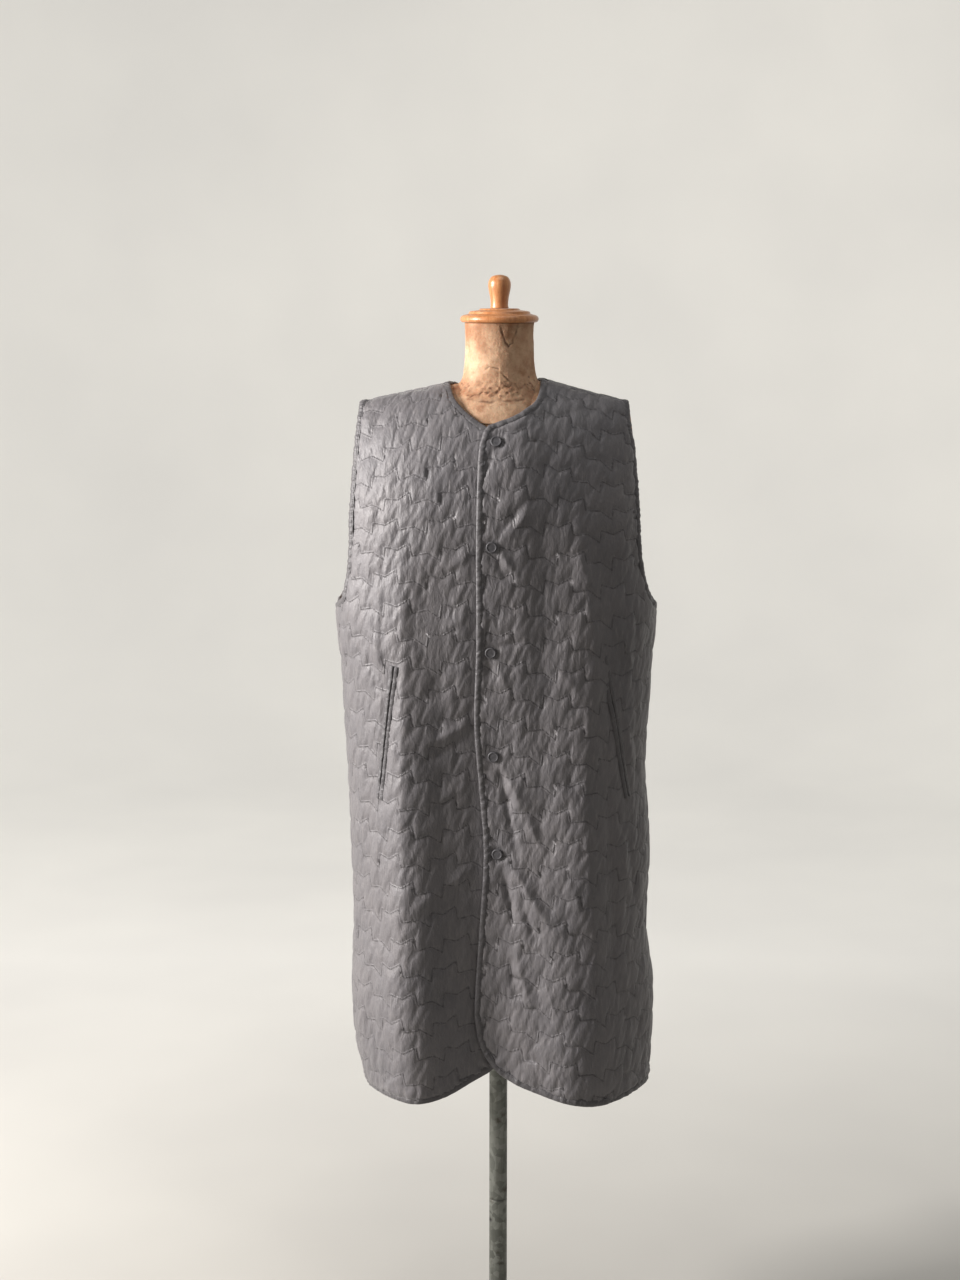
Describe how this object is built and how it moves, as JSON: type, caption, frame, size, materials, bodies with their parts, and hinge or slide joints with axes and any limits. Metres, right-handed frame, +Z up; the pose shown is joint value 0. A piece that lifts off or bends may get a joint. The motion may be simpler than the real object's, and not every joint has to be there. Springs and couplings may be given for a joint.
{
  "type": "quilted long vest on a dress form",
  "caption": "Sleeveless hip-to-knee quilted vest with bound edges, snap front and slanted welt pockets, on a limbless dress form with a turned wood neck cap, a pole and a round base.",
  "frame": {"origin": "middle of the base's underside, where the stand rests on the floor", "axes": "+Z up along the pole, the vest's front faces -Y, +X is the wearer's left"},
  "size_m": [0.4431, 0.308, 1.5386],
  "materials": {
    "quilted_cloth": "woven nylon with a soft sheen, stitched in zigzag rows",
    "binding_tape": "folded edge tape, slightly gathered",
    "snap_metal": "dark satin cap with a raised rim",
    "form_body": "aged papier-mache with a rough skim, cracked at the neck",
    "turned_wood": "light varnished turned wood",
    "galvanised_steel": "dull galvanised tube",
    "cast_iron": "black paint"
  },
  "bodies": {
    "root": {"front_left": "quilted_cloth", "front_right": "quilted_cloth", "back": "quilted_cloth", "binding_front_left": "binding_tape", "binding_front_right": "binding_tape", "binding_back_neck": "binding_tape", "binding_back_hem": "binding_tape", "binding_armhole_left": "binding_tape", "binding_armhole_right": "binding_tape", "pocket_welt_left": "binding_tape", "pocket_welt_right": "binding_tape", "snap_1": "snap_metal", "snap_2": "snap_metal", "snap_3": "snap_metal", "snap_4": "snap_metal", "snap_5": "snap_metal", "form_torso": "form_body", "form_neck_cap": "turned_wood", "form_knob": "turned_wood", "form_pole": "galvanised_steel", "form_base": "cast_iron"}
  },
  "joints": []
}
